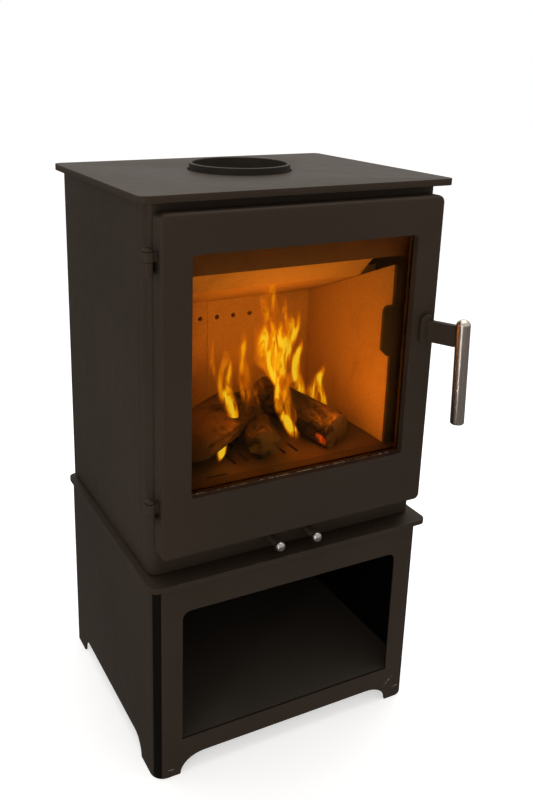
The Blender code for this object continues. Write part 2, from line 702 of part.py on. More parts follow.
# ---- Hinges --------------------------------------------------------------------------------------
def make_knuckle(name, radius, low, high, reach, half_leaf, heading, axis):
    section = knuckle_section(radius, reach, half_leaf)
    knuckle = flat(name, [section, circle((0, 0), BORE_RADIUS, 20)], low, high)
    soften(knuckle, 0.0006, 1)
    knuckle.location.x = HINGE_X
    knuckle.location.y = HINGE_Y
    knuckle.rotation_euler.z = heading
    add(knuckle, "stove_paint", axis)


def make_hinges():
    # The frame's leaves run to the middle of its rounded corner, the door's to its left edge.
    corner = Vector((-CASE_HALF_WIDTH + CASE_CORNER, CASE_FRONT + CASE_CORNER))
    away = corner - Vector((HINGE_X, HINGE_Y))
    frame_reach = away.length - CASE_CORNER - GAP
    heading = math.atan2(away.y, away.x)
    door_reach = -DOOR_HALF_WIDTH - GAP - HINGE_X
    for name, (foot, middle, top) in HINGES.items():
        make_knuckle(f"frame_knuckle_{name}", FRAME_KNUCKLE_RADIUS, foot, middle - GAP,
                     frame_reach, FRAME_LEAF / 2, heading, DATUM)
        make_knuckle(f"door_knuckle_{name}", DOOR_KNUCKLE_RADIUS, middle + GAP, top,
                     door_reach, DOOR_LEAF / 2, 0, DOOR_AXIS)
        head, rim, dome = top + GAP, 0.002, 0.0035
        profile = arc((0, head + rim), (PIN_HEAD, dome), 90, 0, 4)
        profile[0] = (0, head + rim + dome)
        tip = foot + 0.001
        profile += [(PIN_HEAD, head), (PIN_RADIUS, head), (PIN_RADIUS, tip), (0, tip)]
        add(turned(f"hinge_pin_{name}", profile, (HINGE_X, HINGE_Y, 0), steps=20), "stove_paint")


# ---- Door ----------------------------------------------------------------------------------------
def make_door_panel():
    outline = rounded(-DOOR_HALF_WIDTH, DOOR_HALF_WIDTH, DOOR_BOTTOM, DOOR_TOP, DOOR_CORNER, 6)
    panel = flat("door_panel", [outline], DOOR_FRONT, DOOR_BACK, "XZ")
    round_front_edge(panel)
    window = rounded(-WINDOW_HALF_WIDTH, WINDOW_HALF_WIDTH, WINDOW_BOTTOM, WINDOW_TOP,
                     WINDOW_CORNER, 4)
    rebate = rectangle(-WINDOW_HALF_WIDTH - REBATE, WINDOW_HALF_WIDTH + REBATE,
                       WINDOW_BOTTOM - REBATE, WINDOW_TOP + REBATE)
    groove = [groove_outline(GROOVE_HALF_WIDTH), groove_outline(-GROOVE_HALF_WIDTH)]
    front, back = DOOR_FRONT - 0.01, DOOR_BACK + 0.01
    cutters = [
        flat("window", [window], front, back, "XZ"),
        flat("glass_rebate", [rebate], GLASS_FRONT - GAP, back, "XZ"),
        flat("rope_groove", groove, DOOR_BACK - GROOVE_DEPTH, back, "XZ"),
        bore("spindle_hole", SPINDLE_X, SPINDLE_Z, BUSH_RADIUS + GAP, front, back),
    ]
    cut(panel, *cutters)
    add(panel, "stove_paint", DOOR_AXIS)


def round_front_edge(panel):
    """Rounds the slab's outer edge on its front face only."""
    bm = bmesh.new()
    bm.from_mesh(panel.data)
    weights = bm.edges.layers.float.new("bevel_weight_edge")
    front = max(vert.co.z for vert in bm.verts)
    for edge in bm.edges:
        on_front = all(abs(vert.co.z - front) < GAP for vert in edge.verts)
        edge[weights] = 1.0 if on_front else 0.0
    bm.to_mesh(panel.data)
    bm.free()
    bevel = panel.modifiers.new("front_edge", "BEVEL")
    bevel.width = DOOR_ROUNDING
    bevel.segments = 4
    bevel.limit_method = "WEIGHT"


def groove_outline(outset):
    """Rounded rectangle round the rope's path, outset from it."""
    inset = GROOVE_INSET - outset
    return rounded(-DOOR_HALF_WIDTH + inset, DOOR_HALF_WIDTH - inset, DOOR_BOTTOM + inset,
                   DOOR_TOP - inset, 0.012 + outset, 5)


def make_glazing():
    inset = REBATE - 0.0005
    pane = rectangle(-WINDOW_HALF_WIDTH - inset, WINDOW_HALF_WIDTH + inset,
                     WINDOW_BOTTOM - inset, WINDOW_TOP + inset)
    glass_back = GLASS_FRONT + GLASS
    add(flat("door_glass", [pane], GLASS_FRONT, glass_back, "XZ"), "glass", DOOR_AXIS)
    clear = 0.0012
    opening = rectangle(-WINDOW_HALF_WIDTH - clear, WINDOW_HALF_WIDTH + clear,
                        WINDOW_BOTTOM - clear, WINDOW_TOP + clear)
    seal_back = glass_back + SEAL
    add(flat("glass_seal", [pane, opening], glass_back + GAP, seal_back, "XZ"), "rope", DOOR_AXIS)
    make_glass_clips(seal_back + GAP, inset, clear)


def make_glass_clips(front, inset, clear):
    """Four flat strips that hold the glass in its rebate."""
    out_x, in_x = WINDOW_HALF_WIDTH + inset, WINDOW_HALF_WIDTH + clear
    low, high = WINDOW_BOTTOM - inset, WINDOW_TOP + inset
    in_low, in_high = WINDOW_BOTTOM - clear, WINDOW_TOP + clear
    strips = {
        "glass_clip_top": (-out_x, out_x, in_high, high),
        "glass_clip_bottom": (-out_x, out_x, low, in_low),
        "glass_clip_left": (-out_x, -in_x, in_low + GAP, in_high - GAP),
        "glass_clip_right": (in_x, out_x, in_low + GAP, in_high - GAP),
    }
    for name, sides in strips.items():
        strip = flat(name, [rectangle(*sides)], front, front + CLIP, "XZ")
        add(strip, "inner_steel", DOOR_AXIS)


def make_door_seal():
    """Rope in the groove round the back of the door."""
    curve = bpy.data.curves.new("door_seal", "CURVE")
    curve.dimensions = "3D"
    curve.bevel_depth = ROPE_RADIUS
    curve.bevel_resolution = 1
    path = groove_outline(0)
    spline = curve.splines.new("POLY")
    spline.points.add(len(path) - 1)
    for point, (x, z) in zip(spline.points, path):
        point.co = (x, 0, z, 1)
    spline.use_cyclic_u = True
    rope = bpy.data.objects.new("door_seal", curve)
    groove_floor = DOOR_BACK - GROOVE_DEPTH
    rope.location = Vector((0, groove_floor + ROPE_RADIUS + GAP, 0)) - axis_place(DOOR_AXIS)
    rope.parent = DOOR_AXIS
    curve.materials.append(MATERIALS["rope"])
    PARTS.objects.link(rope)


def make_spindle_bush():
    inner = SPINDLE_RADIUS + GAP
    length = DOOR_BACK - DOOR_FRONT - 2 * GAP
    profile = [(inner, length / 2), (BUSH_RADIUS, length / 2), (BUSH_RADIUS, -length / 2),
               (inner, -length / 2)]
    middle = (DOOR_BACK + DOOR_FRONT) / 2
    add(turned("spindle_bush", profile, (SPINDLE_X, middle, SPINDLE_Z), closed=True, steps=24,
               along_y=True), "inner_steel", DOOR_AXIS)


# ---- Handle and latch ----------------------------------------------------------------------------
def make_handle():
    hub_half, edge = HUB_WIDTH / 2, 0.003
    hub_outline = arc((SPINDLE_X, SPINDLE_Z + hub_half), hub_half, 0, 180, 10)
    hub_outline += arc((SPINDLE_X - hub_half + edge, ARM_BOTTOM + edge), edge, 180, 270, 3)
    hub_outline += arc((SPINDLE_X + hub_half - edge, ARM_BOTTOM + edge), edge, 270, 360, 3)
    hub = flat("handle_hub", [hub_outline], HUB_FRONT, DOOR_FRONT - GAP, "XZ")
    soften(hub, 0.0012, 2)
    add(hub, "stove_paint", HANDLE_AXIS)
    make_handle_arm()
    make_grip()
    front, back = DOOR_FRONT, CAM_FRONT - GAP
    middle, half = (front + back) / 2, (back - front) / 2
    add(turned("handle_spindle", cylinder_profile(SPINDLE_RADIUS, -half, half),
               (SPINDLE_X, middle, SPINDLE_Z), steps=24, along_y=True), "stainless", HANDLE_AXIS)
    cam_outline = arc((SPINDLE_X, SPINDLE_Z), CAM_RADIUS, 180, 360, 10)
    cam_outline += arc((SPINDLE_X, SPINDLE_Z + CAM_REACH - CAM_RADIUS), CAM_RADIUS, 0, 180, 10)
    cam = flat("latch_cam", [cam_outline], CAM_FRONT, CAM_BACK, "XZ")
    soften(cam, 0.0006, 1)
    add(cam, "inner_steel", HANDLE_AXIS)


def make_handle_arm():
    """Flat bar from the hub out to the grip; its plan leans outward, past the door's edge."""
    grip = Vector((GRIP_X, GRIP_Y))
    start = Vector((SPINDLE_X + 0.0055, HUB_FRONT - GAP))
    heading = (grip - start).normalized()
    side = Vector((-heading.y, heading.x)) * ARM_THICKNESS / 2
    plan = []
    for sign in (1, -1):
        edge = start + side * sign
        plan.append(tuple(edge + heading * ((HUB_FRONT - GAP - edge.y) / heading.y)))
    plan += [tuple(grip - side), tuple(grip + side)]
    arm = flat("handle_arm", [plan], ARM_BOTTOM, ARM_TOP)
    middle = (ARM_BOTTOM + ARM_TOP) / 2
    seat = turned("grip_seat", cylinder_profile(GRIP_RADIUS + GAP, -ARM_TOP / 2, ARM_TOP / 2),
                  (*grip, middle), steps=48)
    seat.rotation_euler.y = GRIP_LEAN
    cut(arm, seat)
    add(arm, "stove_paint", HANDLE_AXIS)


def make_grip():
    """Stainless bar with a domed top and a small rounded edge at its foot."""
    middle = (ARM_BOTTOM + ARM_TOP) / 2
    top, bottom = GRIP_TOP - middle, GRIP_BOTTOM - middle
    dome, foot = 0.008, 0.002
    profile = arc((0, top - dome), (GRIP_RADIUS, dome), 90, 0, 6)
    profile[0] = (0, top)
    profile += arc((GRIP_RADIUS - foot, bottom + foot), foot, 0, -90, 3)
    profile.append((0, bottom))
    grip = turned("handle_grip", profile, (GRIP_X, GRIP_Y, middle), steps=32)
    grip.rotation_euler.y = GRIP_LEAN
    add(grip, "stainless", HANDLE_AXIS)


# ---- Air controls --------------------------------------------------------------------------------
def make_air_controls():
    """For each control a polished knob, a rod through the front frame, and its slide plate."""
    seat_angle = 90 + math.degrees(math.asin(KNOB_SEAT / KNOB_RADIUS))
    ball = arc((0, 0), KNOB_RADIUS, 90, 90 - seat_angle, 12)
    ball[0] = (0, KNOB_RADIUS)
    ball.append((0, -KNOB_SEAT))
    front = KNOB_Y + KNOB_SEAT + GAP
    middle, half = (front + ROD_END) / 2, (ROD_END - front) / 2
    rod_profile = cylinder_profile(ROD_RADIUS, -half, half, 0.0008)
    for side, x in AIR_RODS.items():
        axis = AIR_AXES[side]
        knob = turned(f"air_knob_{side}", ball, (x, KNOB_Y, AIR_Z), steps=24, along_y=True)
        add(knob, "stainless", axis)
        rod = turned(f"air_rod_{side}", rod_profile, (x, middle, AIR_Z), steps=20, along_y=True)
        add(rod, "inner_steel", axis)
        high = BOX_FLOOR - GAP
        back = ROD_END + GAP
        section = [(SLIDE_FRONT, high - SLIDE_SHEET), (back, high - SLIDE_SHEET),
                   (back, AIR_Z - ROD_RADIUS), (back + SLIDE_SHEET, AIR_Z - ROD_RADIUS),
                   (back + SLIDE_SHEET, high), (SLIDE_FRONT, high)]
        slide = flat(f"air_slide_{side}", [section], x - SLIDE_HALF_WIDTH, x + SLIDE_HALF_WIDTH, "YZ")
        add(slide, "inner_steel", axis)


# ---- Assembly ------------------------------------------------------------------------------------
clear_scene()
PARTS = new_collection("wood_burning_stove")
CUTTERS = new_collection("cutters")
MATERIALS = make_materials()
DATUM = make_axis("datum", (0, DATUM_Y, 0))
DOOR_AXIS = make_axis("door_axis", (HINGE_X, HINGE_Y, 0), DATUM)
HANDLE_AXIS = make_axis("handle_axis", (SPINDLE_X, DOOR_FRONT, SPINDLE_Z), DOOR_AXIS)
AIR_AXES = {side: make_axis(f"air_axis_{side}", (x, KNOB_Y, AIR_Z), DATUM)
            for side, x in AIR_RODS.items()}

make_stand_plate()
make_stand_shell()
make_stand_inside()
make_stand_bolts()
make_top_plate()
make_flue_collar()
make_front_frame()
make_side_panels()
make_back_panel()
make_base_plate()
make_firebox()
make_side_boards()
make_board_retainers()
make_back_boards()
make_rear_air_duct()
make_baffles()
make_hearth()
make_ash_pan()
make_latch_keeper()
make_hinges()
make_door_panel()
make_glazing()
make_door_seal()
make_spindle_bush()
make_handle()
make_air_controls()
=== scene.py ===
"""Looks of the wood burning stove: materials, rounded edges, fire, painted firelight as ash on the ledge,
scratches and the studio.
"""

import json
import math

import bmesh
import bpy
from mathutils import Matrix, Vector, noise


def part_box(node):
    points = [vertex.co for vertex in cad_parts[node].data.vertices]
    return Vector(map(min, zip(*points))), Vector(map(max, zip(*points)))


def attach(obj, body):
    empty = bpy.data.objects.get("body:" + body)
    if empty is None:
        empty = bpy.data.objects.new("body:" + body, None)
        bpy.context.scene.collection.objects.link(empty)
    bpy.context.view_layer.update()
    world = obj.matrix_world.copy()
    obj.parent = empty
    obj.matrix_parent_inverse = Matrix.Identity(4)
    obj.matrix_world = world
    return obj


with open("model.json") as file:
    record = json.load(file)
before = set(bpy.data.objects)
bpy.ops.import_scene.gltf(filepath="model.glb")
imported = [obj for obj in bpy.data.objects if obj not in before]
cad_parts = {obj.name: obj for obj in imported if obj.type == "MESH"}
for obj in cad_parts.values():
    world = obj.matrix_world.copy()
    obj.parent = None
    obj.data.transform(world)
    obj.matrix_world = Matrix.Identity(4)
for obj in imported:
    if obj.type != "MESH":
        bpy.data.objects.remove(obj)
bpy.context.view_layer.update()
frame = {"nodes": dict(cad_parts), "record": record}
NODES = frame["nodes"]

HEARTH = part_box("hearth_grate")[1].z
GLASS_LOW, GLASS_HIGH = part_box("door_glass")
# the window's opening in the door panel, across and up
WINDOW_LOW, WINDOW_HIGH = Vector((-0.171, 0, 0.4486)), Vector((0.171, 0, 0.7770))
STAND_SHEET = 0.0021  # just over the thickness of the stand's sheet

EDGE_ANGLE = math.radians(32)
FIRE = (1.0, 0.345, 0.024)  # colour of the light that the fire gives
FIRE_HEART = Vector((0.015, -0.02, HEARTH + 0.05))  # where the logs are burnt blackest
CHAR_REACH = 0.17
EMBER_REACH = 0.022

# fitted by a program to the photograph's straight edges: metres, degrees, millimetres, shares
CAMERA_PLACE = (-0.59944, -1.09134, 1.00485)
CAMERA_TURN = (73.1884, -0.7754, -26.0257)
CAMERA_LENS = 39.064
CAMERA_SHIFT = (0.06302, -0.09841)


# ------------------------------------------------------------------ node helpers
def new_material(name):
    """A material, its node tree and its Principled shader."""
    material = bpy.data.materials.new(name)
    material.use_nodes = True
    return material, material.node_tree, material.node_tree.nodes["Principled BSDF"]


def add_node(tree, kind, inputs=None, **settings):
    """A node with its settings, its plain inputs and its linked inputs."""
    made = tree.nodes.new(kind)
    for key, value in settings.items():
        setattr(made, key, value)
    for key, value in (inputs or {}).items():
        if isinstance(value, bpy.types.NodeSocket):
            tree.links.new(value, made.inputs[key])
        else:
            made.inputs[key].default_value = value
    return made


def place(tree, stretch=(1, 1, 1)):
    """The object's own coordinates in metres, stretched."""
    own = add_node(tree, "ShaderNodeTexCoord").outputs["Object"]
    inputs = {"Vector": own, "Scale": stretch}
    return add_node(tree, "ShaderNodeMapping", inputs).outputs["Vector"]


def grain(tree, vector, scale, detail=4.0, roughness=0.55, distortion=0.0):
    """Noise around 0.5."""
    inputs = {"Vector": vector, "Scale": scale, "Detail": detail, "Roughness": roughness,
              "Distortion": distortion}
    return add_node(tree, "ShaderNodeTexNoise", inputs).outputs["Fac"]


def cells(tree, vector, scale, feature="F1", output="Distance"):
    inputs = {"Vector": vector, "Scale": scale}
    return add_node(tree, "ShaderNodeTexVoronoi", inputs, feature=feature).outputs[output]


def span(tree, value, low, high, to_low=0.0, to_high=1.0):
    """value from low..high moved to to_low..to_high, smoothly and clamped."""
    inputs = {"Value": value, "From Min": low, "From Max": high, "To Min": to_low,
              "To Max": to_high}
    made = add_node(tree, "ShaderNodeMapRange", inputs, interpolation_type="SMOOTHSTEP")
    return made.outputs["Result"]


def maths(tree, operation, first, second=0.0):
    return add_node(tree, "ShaderNodeMath", {0: first, 1: second}, operation=operation).outputs[0]


def mix(tree, factor, first, second):
    """Colour from first to second."""
    made = add_node(tree, "ShaderNodeMix", data_type="RGBA")
    for socket, value in ((0, factor), (6, first), (7, second)):
        if isinstance(value, bpy.types.NodeSocket):
            tree.links.new(value, made.inputs[socket])
        elif socket == 0:
            made.inputs[socket].default_value = value
        else:
            made.inputs[socket].default_value = (*value, 1)
    return made.outputs[2]


def ramp(tree, value, stops):
    """Colour ramp through (position, colour) stops."""
    made = add_node(tree, "ShaderNodeValToRGB", {"Fac": value})
    elements = made.color_ramp.elements
    while len(elements) < len(stops):
        elements.new(0.5)
    for element, (position, colour) in zip(elements, stops):
        element.position = position
        element.color = (*colour, 1)
    return made.outputs["Color"]


def bump(tree, surface, height, strength, distance):
    inputs = {"Height": height, "Strength": strength, "Distance": distance}
    if surface.inputs["Normal"].is_linked:
        inputs["Normal"] = surface.inputs["Normal"].links[0].from_socket
    tree.links.new(add_node(tree, "ShaderNodeBump", inputs).outputs["Normal"],
                   surface.inputs["Normal"])


def edges(tree, radius):
    """1 on the object's outer edges and 0 on its flats."""
    rounded = add_node(tree, "ShaderNodeBevel", {"Radius": radius}, samples=6).outputs["Normal"]
    flat = add_node(tree, "ShaderNodeNewGeometry").outputs["Normal"]
    dot = add_node(tree, "ShaderNodeVectorMath", {0: rounded, 1: flat}, operation="DOT_PRODUCT")
    return span(tree, dot.outputs["Value"], 0.995, 0.86)


def attribute(tree, name):
    """A value that the mesh holds at each point."""
    return add_node(tree, "ShaderNodeAttribute", attribute_name=name).outputs["Fac"]


def plug(tree, surface, **sockets):
    """Links or sets the shader's sockets; an underscore stands for a space in a name."""
    for name, value in sockets.items():
        socket = surface.inputs[name.replace("_", " ")]
        if isinstance(value, bpy.types.NodeSocket):
            tree.links.new(value, socket)
        elif socket.type == "RGBA":
            socket.default_value = (*value, 1)
        else:
            socket.default_value = value


# ------------------------------------------------------------------ materials
def paint(name, light, dark, inside=None):
    """Matt heat-proof paint: fine powdery grain, thin haze, edges paler as wear and as painted highlight.
    """
    material, tree, surface = new_material(name)
    own = place(tree)
    haze = grain(tree, own, 3.5, 3)
    speckle = grain(tree, own, 900, 2)
    colour = mix(tree, span(tree, haze, 0.30, 0.70), dark, light)
    colour = mix(tree, span(tree, speckle, 0.5, 0.75, 0, 0.22), colour,
                 tuple(1.9 * part for part in light))
    # Paler edges in patches: partly wear, partly a painted highlight along the rounded edges.
    wear_and_highlight = maths(tree, "MULTIPLY", edges(tree, 0.0011), span(tree, grain(tree, own, 60, 6), 0.48, 0.70))
    colour = mix(tree, maths(tree, "MULTIPLY", wear_and_highlight, 0.55), colour, (0.115, 0.095, 0.078))
    # Painted shade: near black wherever inside marks.
    if inside is not None:
        colour = mix(tree, inside(tree, own), colour, (0.0012, 0.0011, 0.0010))
    rough = span(tree, grain(tree, own, 45, 5), 0.3, 0.7, 0.46, 0.50)
    plug(tree, surface, Base_Color=colour, Roughness=rough, Specular_IOR_Level=0.20,
         Specular_Tint=(1.0, 0.80, 0.64))
    bump(tree, surface, grain(tree, own, 620, 3, 0.6), 0.14, 0.0005)
    return material


def sheet_steel(name, base, spots, roughness, metallic):
    """Bare or thinly painted sheet that the heat has stained."""
    material, tree, surface = new_material(name)
    own = place(tree)
    stain = grain(tree, own, 16, 6, 0.62, 0.6)
    soot = grain(tree, own, 5, 4)
    colour = mix(tree, span(tree, stain, 0.42, 0.66), base, spots)
    colour = mix(tree, span(tree, soot, 0.5, 0.72, 0, 0.6), colour, (0.010, 0.008, 0.007))
    worn = maths(tree, "MULTIPLY", edges(tree, 0.0009), 0.35)
    colour = mix(tree, worn, colour, (0.16, 0.13, 0.11))
    rough = span(tree, stain, 0.3, 0.7, roughness - 0.08, roughness + 0.10)
    plug(tree, surface, Base_Color=colour, Roughness=rough, Metallic=metallic)
    bump(tree, surface, grain(tree, own, 260, 4), 0.20, 0.0006)
    return material


def cast_iron():
    """Grainy as-cast skin with a little rust and ash grey in the pits."""
    material, tree, surface = new_material("cast_iron")
    own = place(tree)
    pits = grain(tree, own, 330, 5, 0.65)
    patches = grain(tree, own, 18, 5, 0.6, 0.4)
    colour = mix(tree, span(tree, patches, 0.40, 0.68), (0.075, 0.050, 0.033), (0.125, 0.078, 0.044))
    colour = mix(tree, span(tree, pits, 0.58, 0.74, 0, 0.5), colour, (0.11, 0.095, 0.08))
    worn = maths(tree, "MULTIPLY", edges(tree, 0.0012), 0.4)
    colour = mix(tree, worn, colour, (0.14, 0.12, 0.105))
    plug(tree, surface, Base_Color=colour, Roughness=span(tree, patches, 0.3, 0.7, 0.55, 0.72),
         Metallic=0.15)
    bump(tree, surface, pits, 0.45, 0.0007)
    return material


def vermiculite():
    """Pressed board of golden mica flakes, browned by heat and sooty at its edges."""
    material, tree, surface = new_material("vermiculite")
    own = place(tree)
    flake_tone = cells(tree, own, 640, output="Color")
    flake = add_node(tree, "ShaderNodeSeparateColor", {"Color": flake_tone}).outputs["Red"]
    cloud = grain(tree, own, 11, 5, 0.6, 0.5)
    fine = grain(tree, own, 190, 4, 0.6)
    colour = mix(tree, flake, (0.46, 0.305, 0.125), (0.57, 0.395, 0.175))
    colour = mix(tree, span(tree, fine, 0.40, 0.72, 0, 0.22), colour, (0.32, 0.20, 0.08))
    colour = mix(tree, span(tree, cloud, 0.50, 0.78, 0, 0.45), colour, (0.22, 0.12, 0.05))
    chipped = maths(tree, "MULTIPLY", edges(tree, 0.0016),
                    span(tree, grain(tree, own, 90, 5), 0.45, 0.62))
    colour = mix(tree, maths(tree, "MULTIPLY", chipped, 0.6), colour, (0.66, 0.49, 0.28))
    plug(tree, surface, Base_Color=colour, Roughness=span(tree, flake, 0, 1, 0.62, 0.9),
         Specular_IOR_Level=0.3)
    bump(tree, surface, flake, 0.12, 0.0004)
    bump(tree, surface, fine, 0.14, 0.0008)
    return material


def stainless(name, stretch, base):
    """Steel brushed along one axis: streaks in tone, roughness and height."""
    material, tree, surface = new_material(name)
    streak = grain(tree, place(tree, stretch), 1.0, 4, 0.7)
    broad = grain(tree, place(tree, tuple(0.22 * part for part in stretch)), 1.0, 3, 0.5)
    colour = mix(tree, span(tree, streak, 0.3, 0.7), tuple(0.74 * part for part in base), base)
    plug(tree, surface, Base_Color=colour, Metallic=1.0,
         Roughness=span(tree, broad, 0.3, 0.7, 0.20, 0.34))
    bump(tree, surface, streak, 0.14, 0.0003)
    return material


def zinc():
    """Zinc plating with its pale spangle."""
    material, tree, surface = new_material("zinc_steel")
    own = place(tree)
    spangle = add_node(tree, "ShaderNodeSeparateColor",
                       {"Color": cells(tree, own, 260, output="Color")}).outputs["Green"]
    colour = mix(tree, spangle, (0.36, 0.35, 0.33), (0.56, 0.55, 0.52))
    plug(tree, surface, Base_Color=colour, Metallic=1.0, Roughness=span(tree, spangle, 0, 1, 0.3, 0.5))
    bump(tree, surface, grain(tree, own, 500, 3), 0.1, 0.0003)
    return material


def glass():
    """Ceramic glass, amber partly as painted firelight, with a little soot toward the window's edges."""
    material, tree, surface = new_material("door_glass")
    own = place(tree)
    where = add_node(tree, "ShaderNodeSeparateXYZ", {"Vector": own})
    middle = (WINDOW_LOW + WINDOW_HIGH) / 2
    half = (WINDOW_HIGH - WINDOW_LOW) / 2
    across = maths(tree, "ABSOLUTE", maths(tree, "SUBTRACT", where.outputs["X"], middle.x))
    upward = maths(tree, "ABSOLUTE", maths(tree, "SUBTRACT", where.outputs["Z"], middle.z))
    near = maths(tree, "MAXIMUM", maths(tree, "DIVIDE", across, half.x),
                 maths(tree, "DIVIDE", upward, half.z))
    smoke = maths(tree, "MULTIPLY", span(tree, near, 0.72, 1.04),
                  span(tree, grain(tree, own, 26, 5, 0.6, 0.8), 0.30, 0.70, 0.35, 1.0))
    # Its strong amber is partly painted firelight: it turns the firebox seen through it orange.
    colour = mix(tree, maths(tree, "MULTIPLY", smoke, 0.6), (0.94, 0.66, 0.27), (0.58, 0.34, 0.12))
    plug(tree, surface, Base_Color=colour, Transmission_Weight=1.0, Roughness=0.0, IOR=1.10)
    return material


def rope(name, dark, light):
    """Knitted glass-fibre rope."""
    material, tree, surface = new_material(name)
    own = place(tree)
    knit = add_node(tree, "ShaderNodeTexWave", {"Vector": own, "Scale": 110, "Distortion": 3.0},
                    wave_type="BANDS", bands_direction="DIAGONAL").outputs["Fac"]
    colour = mix(tree, knit, dark, light)
    plug(tree, surface, Base_Color=colour, Roughness=0.95)
    bump(tree, surface, knit, 0.7, 0.0012)
    bump(tree, surface, grain(tree, own, 700, 3), 0.3, 0.0006)
    return material


def painted_store_shade(tree, own):
    """1 inside the log store, behind its front sheet, where a near-black painted shade goes."""
    where = add_node(tree, "ShaderNodeSeparateXYZ", {"Vector": own})
    low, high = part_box("stand_shell")
    across = maths(tree, "ABSOLUTE", where.outputs["X"])
    inner = maths(tree, "LESS_THAN", across, high.x - STAND_SHEET)
    behind = maths(tree, "GREATER_THAN", where.outputs["Y"], low.y + STAND_SHEET)
    return maths(tree, "MULTIPLY", inner, behind)


BROWN_LIGHT, BROWN_DARK = (0.0315, 0.0218, 0.0150), (0.0265, 0.0184, 0.0126)
PAINT = paint("stove_paint", BROWN_LIGHT, BROWN_DARK)
# The log store's paint, near black inside the store as painted shade.
STORE_PAINT_AND_SHADE = paint("store_paint_and_shade", BROWN_LIGHT, BROWN_DARK, painted_store_shade)
# Painted shade: the log store's back panel made near black.
STORE_BACK_SHADE = paint("store_back_painted_shade", (0.0016, 0.0014, 0.0013), (0.0010, 0.0009, 0.0008))
BY_SLOT = {
    "stove_paint": PAINT,
    "inner_steel": sheet_steel("inner_steel", (0.052, 0.036, 0.025), (0.085, 0.052, 0.032), 0.55, 0.2),
    "cast_iron": cast_iron(),
    "vermiculite": vermiculite(),
    "stainless": stainless("stainless_grip", (900, 900, 14), (0.86, 0.75, 0.66)),
    "zinc_steel": zinc(),
    "glass": glass(),
    "rope_seal": rope("door_rope", (0.030, 0.030, 0.030), (0.17, 0.165, 0.16)),
}
BY_NODE = {
    "stand_shell": STORE_PAINT_AND_SHADE,
    "airwash_plate": sheet_steel("airwash_steel", (0.090, 0.034, 0.026), (0.120, 0.046, 0.032), 0.6, 0.0),
    "stand_back_panel": STORE_BACK_SHADE,
    "stand_shelf": paint("shelf_paint", (0.060, 0.050, 0.040), (0.048, 0.039, 0.031)),
    "flue_collar": paint("collar_paint", (0.032, 0.028, 0.024), (0.026, 0.022, 0.019)),
    "glass_seal": rope("glass_tape", (0.006, 0.005, 0.005), (0.016, 0.014, 0.012)),
    "air_knob_left": stainless("stainless_knob", (60, 900, 900), (0.66, 0.62, 0.57)),
}
BY_NODE["air_knob_right"] = BY_NODE["air_knob_left"]


# ------------------------------------------------------------------ CAD nodes
def weld_group():
    """Joins a CAD mesh's split corners and shades its curved faces smooth."""
    group = bpy.data.node_groups.new("weld_and_smooth", "GeometryNodeTree")
    for way in ("INPUT", "OUTPUT"):
        group.interface.new_socket("Geometry", in_out=way, socket_type="NodeSocketGeometry")
    start = group.nodes.new("NodeGroupInput").outputs[0]
    weld = add_node(group, "GeometryNodeMergeByDistance", {"Geometry": start, "Distance": 1e-5})
    angle = add_node(group, "GeometryNodeInputMeshEdgeAngle").outputs["Unsigned Angle"]
    sharp = add_node(group, "FunctionNodeCompare", {0: angle, 1: EDGE_ANGLE},
                     data_type="FLOAT", operation="GREATER_THAN").outputs[0]
    normal = add_node(group, "GeometryNodeSetMeshNormal", {"Mesh": weld.outputs[0]},
                      mode="SHARPNESS")
    normal.inputs["Remove Custom"].default_value = True
    normal.inputs["Face Sharpness"].default_value = False
    group.links.new(sharp, normal.inputs["Edge Sharpness"])
    finish = group.nodes.new("NodeGroupOutput")
    group.links.new(normal.outputs[0], finish.inputs[0])
    return group


WELD = weld_group()


def dress(node, width=0.0006):
    """Rounded, softly shaded edges on a CAD node, made by modifiers."""
    smooth = node.modifiers.new("weld_and_smooth", "NODES")
    smooth.node_group = WELD
    flatten = node.modifiers.new("flats", "DECIMATE")
    flatten.decimate_type = "DISSOLVE"
    flatten.angle_limit = math.radians(0.8)
    rounding = node.modifiers.new("edges", "BEVEL")
    rounding.limit_method = "ANGLE"
    rounding.angle_limit = EDGE_ANGLE
    rounding.width = width
    rounding.segments = 2
    rounding.use_clamp_overlap = True
    rounding.harden_normals = True


SLOT_OF = {row["node"]: row["material_slot"] for row in frame["record"]["subparts"]}
for node_name, node in NODES.items():
    node.data.materials.clear()
    node.data.materials.append(BY_NODE.get(node_name, BY_SLOT[SLOT_OF[node_name]]))
    dress(node)


